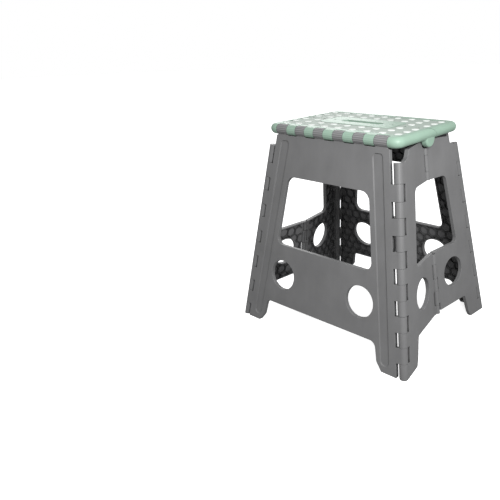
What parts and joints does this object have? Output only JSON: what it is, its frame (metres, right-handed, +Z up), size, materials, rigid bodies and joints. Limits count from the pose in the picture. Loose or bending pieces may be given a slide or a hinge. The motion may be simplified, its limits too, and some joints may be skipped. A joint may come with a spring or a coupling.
{
  "type": "folding step stool",
  "caption": "Folding step stool with a hinged two-part dotted top, tapered long panels with windows and end panels that fold inwards.",
  "frame": {"origin": "centre of the footprint on the floor", "axes": "+X along the long panels, the front panel faces -Y, +Z up out of the tread"},
  "size_m": [0.392, 0.3104, 0.384],
  "materials": {
    "panel": "satin mid grey",
    "top": "satin sage green",
    "dots": "matt white",
    "wire": "drawn wire"
  },
  "bodies": {
    "leg_front": {"leg_front": "panel", "corner_rod_right_front": "wire", "corner_rod_left_front": "wire", "edge_rod_front": "wire"},
    "leg_back": {"leg_back": "panel", "corner_rod_right_back": "wire", "corner_rod_left_back": "wire", "edge_rod_back": "wire"},
    "top_front": {"top_front": "top", "dots_front": "dots", "mid_rod_right": "wire", "mid_rod_left": "wire"},
    "top_back": {"top_back": "top", "dots_back": "dots"},
    "end_right_front": {"end_right_front": "panel", "end_pins_right_low": "wire", "end_pins_right_high": "wire"},
    "end_right_back": {"end_right_back": "panel"},
    "end_left_front": {"end_left_front": "panel"},
    "end_left_back": {"end_left_back": "panel", "end_pins_left_low": "wire", "end_pins_left_high": "wire"}
  },
  "joints": [
    {"name": "fold", "type": "hinge", "parent": "top_front", "child": "top_back", "pos_m": [0, 0, 0.3627], "axis": [-1, 0, 0], "range_deg": [0, 179]},
    {"name": "edge_front", "type": "hinge", "parent": "leg_front", "child": "top_front", "pos_m": [0, -0.092, 0.375], "axis": [1, 0, 0], "range_deg": [0, 80.43]},
    {"name": "edge_back", "type": "hinge", "parent": "top_back", "child": "leg_back", "pos_m": [0, 0.092, 0.375], "axis": [1, 0, 0], "range_deg": [0, 80.43]},
    {"name": "corner_right_front", "type": "hinge", "parent": "leg_front", "child": "end_right_front", "pos_m": [0.1884, -0.1476, 0], "axis": [-0.1535, 0.1559, 0.9758], "range_deg": [0, 83.41]},
    {"name": "corner_right_back", "type": "hinge", "parent": "leg_back", "child": "end_right_back", "pos_m": [0.1884, 0.1476, 0], "axis": [0.1535, 0.1559, -0.9758], "range_deg": [0, 83.41]},
    {"name": "corner_left_front", "type": "hinge", "parent": "leg_front", "child": "end_left_front", "pos_m": [-0.1884, -0.1476, 0], "axis": [-0.1535, -0.1559, -0.9758], "range_deg": [0, 83.41]},
    {"name": "corner_left_back", "type": "hinge", "parent": "leg_back", "child": "end_left_back", "pos_m": [-0.1884, 0.1476, 0], "axis": [0.1535, -0.1559, 0.9758], "range_deg": [0, 83.41]}
  ],
  "couplings": [
    {"joint": "edge_front", "follows": "fold", "ratio": 0.4493},
    {"joint": "edge_back", "follows": "fold", "ratio": 0.4493},
    {"joint": "corner_right_front", "follows": "fold", "ratio": 0.46594},
    {"joint": "corner_right_back", "follows": "fold", "ratio": 0.46594},
    {"joint": "corner_left_front", "follows": "fold", "ratio": 0.46594},
    {"joint": "corner_left_back", "follows": "fold", "ratio": 0.46594}
  ]
}
